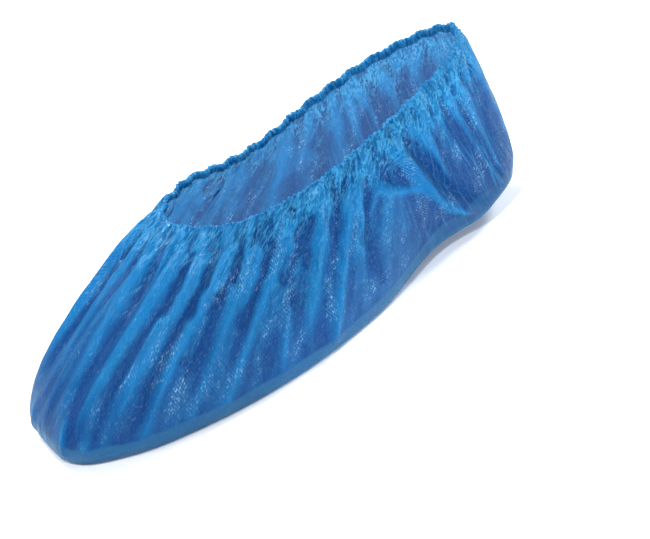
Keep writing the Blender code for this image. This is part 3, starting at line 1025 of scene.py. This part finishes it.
def crumpled_share(n, patches, sideways, down):
    """Where the film is crumpled, from 0 to 1: all round the hem, less at the toe, and in patches below."""
    fading = n.product(n.ramp(patches, "crumpled patches"), n.ramp(down, "patches down"))
    hem_depth = n.product(down, n.ramp(sideways, "hem depth beside"))
    crumpled = n.math("MAXIMUM", fading, n.ramp(hem_depth, "crumpled hem"))
    return n.product(crumpled, n.ramp(down, "crumples at fold"), n.ramp(sideways, "crumples beside"))


def film_material():
    """Thin blue film: embossed with small diamonds, crumpled, glossy, and letting some light through; its
    colour holds painted light and shade, painted highlights and painted glints.
    """
    n = Nodes("blue_film_look")
    flat = n.add("ShaderNodeUVMap", {"uv_map": "flat_film"}).outputs["UV"]
    split = n.add("ShaderNodeSeparateXYZ", i0=flat)
    along, across = split.outputs[0], split.outputs[1]
    sideways = n.math("ABSOLUTE", along)
    down = n.add("ShaderNodeAttribute", {"attribute_name": "down"}).outputs["Fac"]
    # The lift attribute holds the painted light and shade tone, not the film's lift
    lift = n.add("ShaderNodeAttribute", {"attribute_name": "lift"}).outputs["Fac"]
    drawn_out = n.vector("MULTIPLY", flat, CRUMPLE_STRETCH)
    stretched = n.vector("MULTIPLY", flat, PATCH_STRETCH)
    patches = n.noise(stretched, PATCH_SCALE, 3.0)
    around = n.noise(stretched, 1 / GLINT_PATCH, 2.0)

    crests = embossing(n, along, across)
    facets, shine = crumples(n, drawn_out)
    streaks = tension_streaks(n, along, across, down)
    crumpled = crumpled_share(n, patches, sideways, down)
    soft = n.noise(stretched, SOFT_SCALE, 3.0, Roughness=SOFT_ROUGHNESS)
    height = n.math("ADD", n.math("MULTIPLY", facets, crumpled), n.math("MULTIPLY", crests, EMBOSS_DEPTH))
    height = n.math("ADD", height, n.math("MULTIPLY", soft, SOFT_DEPTH))
    height = n.math("ADD", height, n.math("MULTIPLY", streaks, STREAK_HEIGHT))
    bumped = n.add("ShaderNodeBump", Strength=1.0, Distance=1.0, Height=height).outputs[0]

    # Painted light and shade: the tone mixes from the painted shade blue to the painted light blue, with
    # some random unevenness
    uneven = n.math("MULTIPLY", n.math("SUBTRACT", around, 0.5), TONE_UNEVENNESS)
    colour = n.mix(n.ramp(n.math("ADD", lift, uneven), "tone"), PAINTED_SHADE_BLUE, PAINTED_LIGHT_BLUE)
    # Painted glow: a paler band above the sole rim, weaker at the heel
    band_edge = n.math("ADD", down, n.math("MULTIPLY", patches, BAND_WAVER))
    band = n.product(n.ramp(band_edge, "pale band"), n.ramp(sideways, "pale band behind"))
    colour = n.mix(band, colour, PAINTED_GLOW_BLUE)
    # Painted highlights on chosen crumple facets and on the heel's streaks
    painted_highlights = n.product(n.ramp(shine, "sharp creases"), crumpled, n.ramp(down, "creases down"))
    painted_highlights = n.math("MAXIMUM", painted_highlights, n.math("MULTIPLY", streaks, STREAK_HIGHLIGHT))
    colour = n.mix(painted_highlights, colour, CREASE_HIGHLIGHT_BLUE)

    # Painted glints: white sparks and embossed dots in patches
    lively = n.product(n.ramp(around, "lively patches"), n.ramp(sideways, "glints beside"),
                       n.ramp(down, "glints down"))
    sparks = n.ramp(n.noise(drawn_out, 1 / SPARK_SIZE, 1.0), "sparks")
    glints = n.product(n.math("MAXIMUM", sparks, n.ramp(crests, "dots")), lively, GLINT_WHITENING)
    colour = n.mix(glints, colour, GLINT_WHITE)

    film = n.add("ShaderNodeBsdfPrincipled", Base_Color=colour, Normal=bumped,
                 Roughness=n.ramp(crumpled, "gloss"), Specular_IOR_Level=SPECULAR_LEVEL,
                 Specular_Tint=SHINE_BLUE, Sheen_Weight=SHEEN_WEIGHT, Sheen_Roughness=SHEEN_ROUGHNESS,
                 Sheen_Tint=SHEEN_BLUE)
    through = n.add("ShaderNodeBsdfTranslucent", Color=colour, Normal=bumped)
    clear = n.add("ShaderNodeBsdfTransparent", Color=CLEAR_BLUE)
    lit = n.add("ShaderNodeMixShader", i0=GLOWS_THROUGH, i1=film.outputs[0], i2=through.outputs[0])
    seen = n.add("ShaderNodeMixShader", i0=SEEN_THROUGH, i1=lit.outputs[0], i2=clear.outputs[0])
    n.add("ShaderNodeOutputMaterial", Surface=seen.outputs[0])
    return n.material


def elastic_material():
    """Flat white elastic with a fine woven rib."""
    n = Nodes("white_elastic_look")
    place = n.add("ShaderNodeTexCoord").outputs["Object"]
    weave = n.add("ShaderNodeTexWave", {"bands_direction": "Y"}, Vector=place, Scale=RIB_SCALE,
                  Distortion=1.2, Detail=2.0).outputs["Fac"]
    threads = n.noise(place, THREAD_SCALE, 2.0)
    colour = n.mix(weave, ELASTIC_GREY, ELASTIC_WHITE)
    ribbed = n.add("ShaderNodeBump", Strength=0.6, Distance=0.0002, Height=weave)
    bumped = n.add("ShaderNodeBump", Strength=0.4, Distance=0.0001, Height=threads, Normal=ribbed.outputs[0])
    cloth = n.add("ShaderNodeBsdfPrincipled", Base_Color=colour, Roughness=0.8, Normal=bumped.outputs[0])
    n.add("ShaderNodeOutputMaterial", Surface=cloth.outputs[0])
    return n.material


def floor_material():
    """Plain pale floor with a soft gloss."""
    n = Nodes("pale_floor")
    plain = n.add("ShaderNodeBsdfPrincipled", Roughness=FLOOR_ROUGHNESS, Base_Color=FLOOR_WHITE)
    n.add("ShaderNodeOutputMaterial", Surface=plain.outputs[0])
    return n.material


def add_floor(level):
    """A wide level floor just under the sole."""
    mesh = bpy.data.meshes.new("floor")
    corners = [(x * FLOOR_REACH, y * FLOOR_REACH, level) for x, y in ((-1, -1), (1, -1), (1, 1), (-1, 1))]
    mesh.from_pydata(corners, [], [(0, 1, 2, 3)])
    mesh.materials.append(floor_material())
    floor = bpy.data.objects.new("floor", mesh)
    bpy.context.scene.collection.objects.link(floor)


def add_light(name, place, size, power):
    """One square soft light."""
    lamp = bpy.data.lights.new(name, "AREA")
    lamp.size = size
    lamp.energy = power
    light = bpy.data.objects.new(name, lamp)
    light.location = place
    light.rotation_euler = (Vector(CAMERA_AIM) - Vector(place)).to_track_quat("-Z", "Y").to_euler()
    bpy.context.scene.collection.objects.link(light)


def add_lights():
    """Soft studio lights, the main one from above the far side, and a pale sky."""
    world = bpy.data.worlds.new("studio")
    bpy.context.scene.world = world
    world.use_nodes = True
    background = world.node_tree.nodes["Background"]
    background.inputs["Color"].default_value = SKY_COLOUR
    background.inputs["Strength"].default_value = SKY_STRENGTH
    for row in LIGHTS:
        add_light(**dict(zip(LIGHT_COLUMNS, row)))


def add_camera():
    """The photo's camera, turned so that its aim falls on the same pixel."""
    a, e, roll = (math.radians(angle) for angle in (CAMERA_AZIMUTH, CAMERA_ELEVATION, CAMERA_ROLL))
    camera = bpy.data.objects.new("camera", bpy.data.cameras.new("camera"))
    camera.data.lens = CAMERA_LENS
    focal_pixels = CAMERA_LENS / camera.data.sensor_width * IMAGE_SIZE[0]
    back = Vector((math.cos(a) * math.cos(e), -math.sin(a) * math.cos(e), math.sin(e)))
    level = Vector((math.sin(a), math.cos(a), 0.0))
    above = back.cross(level)
    right = level * math.cos(roll) - above * math.sin(roll)
    up = level * math.sin(roll) + above * math.cos(roll)
    aside = IMAGE_SIZE[0] / 2 - AIM_PIXEL[0]
    below = IMAGE_SIZE[1] / 2 - AIM_PIXEL[1]
    away = (back * focal_pixels - right * aside + up * below).normalized()
    right = (right - away * right.dot(away)).normalized()
    up = away.cross(right)
    turned = Matrix((right, up, away)).transposed()
    camera.matrix_world = Matrix.Translation(Vector(CAMERA_AIM) + back * CAMERA_DISTANCE) @ turned.to_4x4()
    bpy.context.scene.collection.objects.link(camera)
    bpy.context.scene.camera = camera


def plain_list(box):
    """A box as plain lists of numbers."""
    return [list(corner) for corner in box]


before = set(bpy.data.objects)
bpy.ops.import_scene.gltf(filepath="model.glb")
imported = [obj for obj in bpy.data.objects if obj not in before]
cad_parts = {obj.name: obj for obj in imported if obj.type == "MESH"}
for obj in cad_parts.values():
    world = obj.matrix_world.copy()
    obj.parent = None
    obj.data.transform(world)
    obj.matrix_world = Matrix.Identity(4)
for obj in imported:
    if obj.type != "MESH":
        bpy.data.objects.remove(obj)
cad_box = plain_list(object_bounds())

film_bag = build_film()
film_bag.data.materials.append(film_material())
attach(film_bag, "root")
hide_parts("film_cover")

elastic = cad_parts["elastic_band"]
for slot in elastic.material_slots:
    slot.material = elastic_material()

add_floor(cad_box[0][2] - FLOOR_GAP)
add_lights()
add_camera()
bpy.context.scene.view_settings.view_transform = "Standard"
